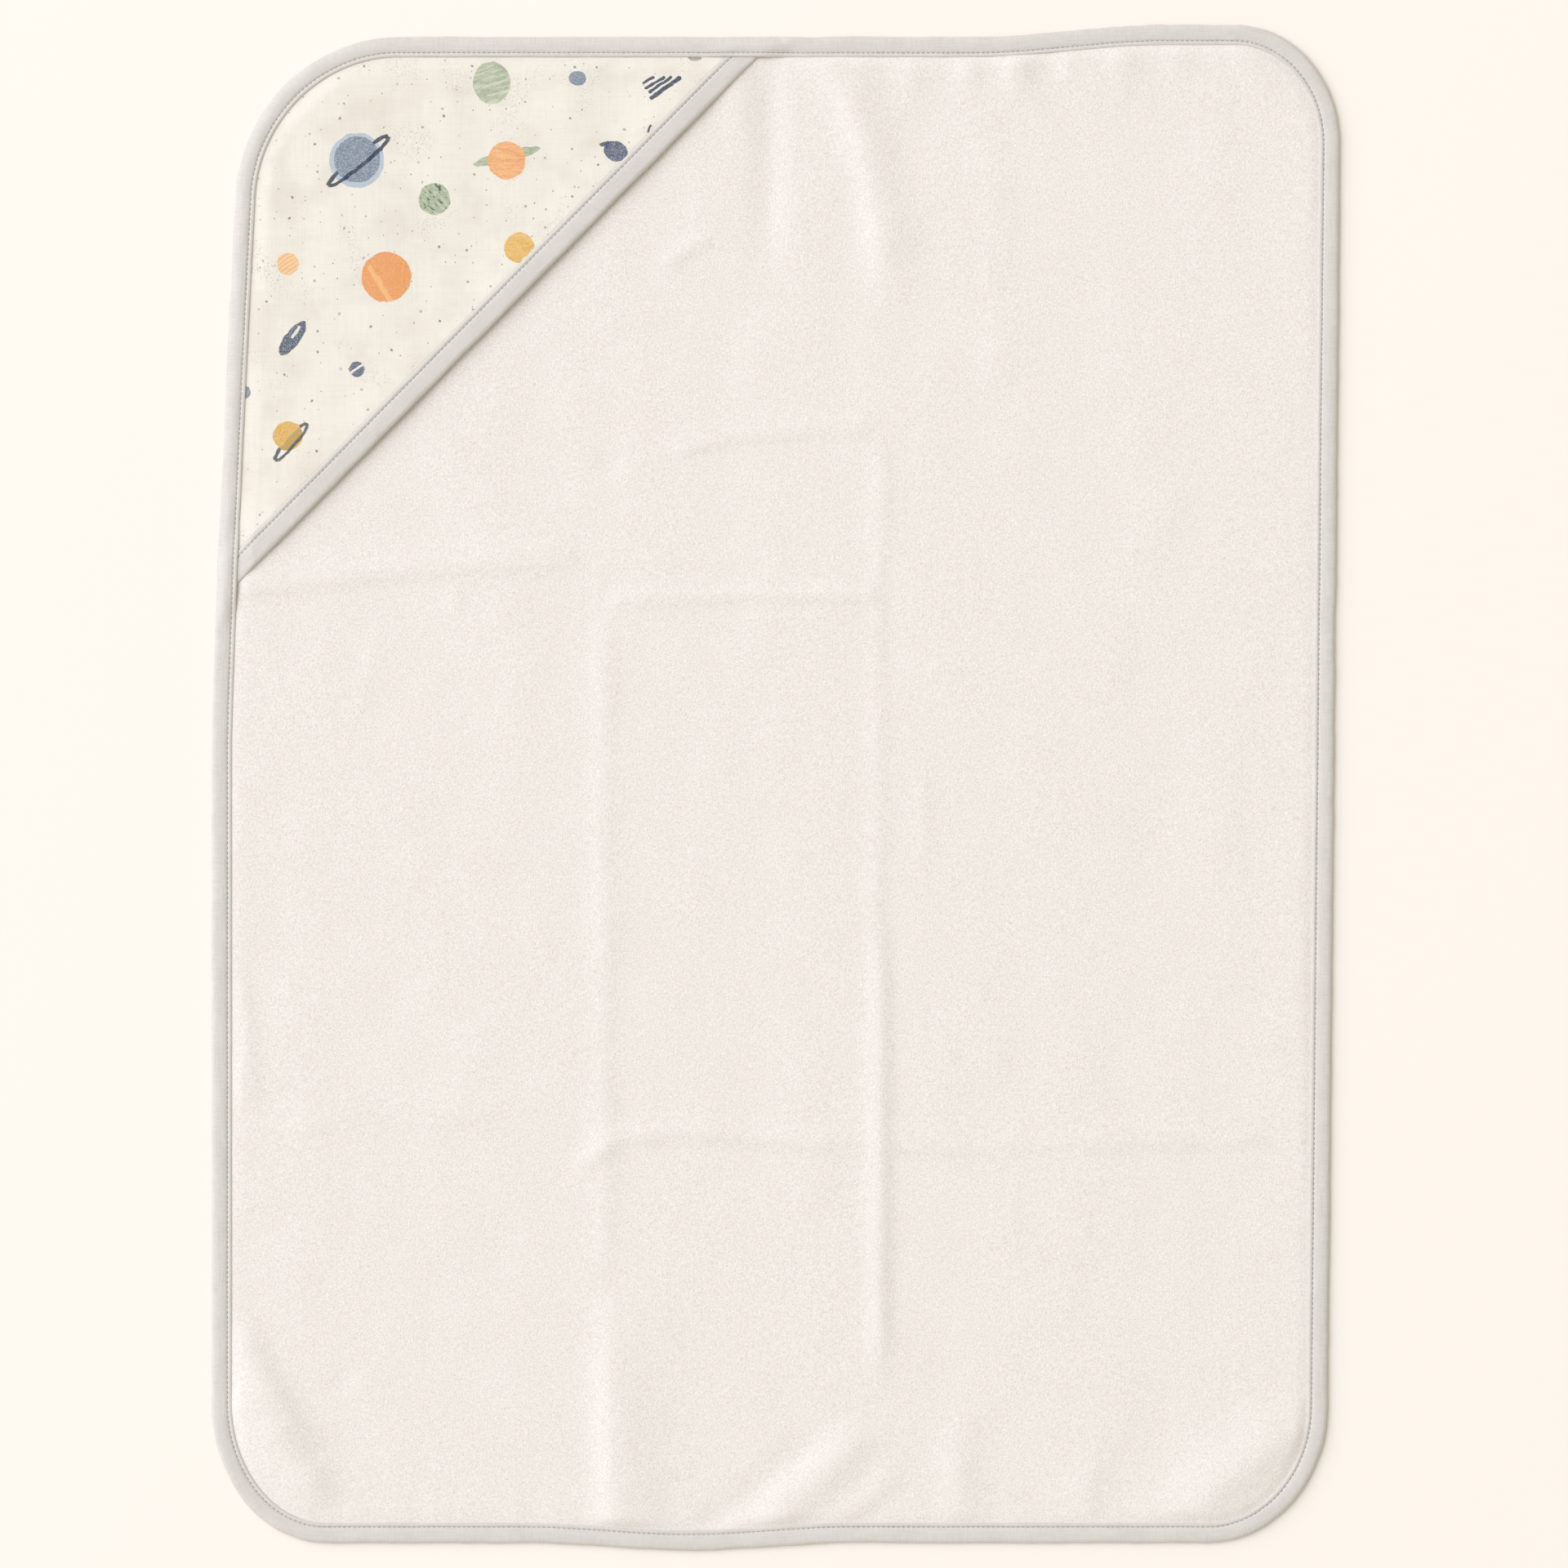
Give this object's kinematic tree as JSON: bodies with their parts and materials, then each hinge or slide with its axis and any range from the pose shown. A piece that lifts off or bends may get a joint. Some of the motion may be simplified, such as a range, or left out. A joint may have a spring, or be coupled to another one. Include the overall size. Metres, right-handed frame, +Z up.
{
  "type": "hooded baby towel",
  "caption": "Terry baby towel laid flat, edges bound with folded tape, with a printed and lined hood sewn over one corner as a pocket that is open on its diagonal.",
  "frame": {"origin": "below the middle of the laid towel's outline, on the surface it lies on", "axes": "+Z up out of the laid cloth, +Y along its length towards the hood end, +X across it to the right, so the hood is at the -X +Y corner"},
  "size_m": [0.7396, 1, 0.0165],
  "materials": {
    "terry": "off-white cotton terry, short dense pile",
    "hood_lining": "off-white light cotton terry",
    "printed_cotton": null,
    "binding_tape": "warm light grey plain-weave folded tape, matt",
    "sewing_thread": "grey spun sewing thread",
    "label_cloth": "blank white woven label, slight satin"
  },
  "bodies": {
    "root": {"towel_body": "terry", "hood_lining": "hood_lining", "hood_print_panel": "printed_cotton", "hood_binding": "binding_tape", "edge_binding": "binding_tape", "edge_needle_thread": "sewing_thread", "edge_bobbin_thread": "sewing_thread", "hood_needle_thread": "sewing_thread", "hood_bobbin_thread": "sewing_thread", "care_label": "label_cloth"}
  },
  "joints": []
}
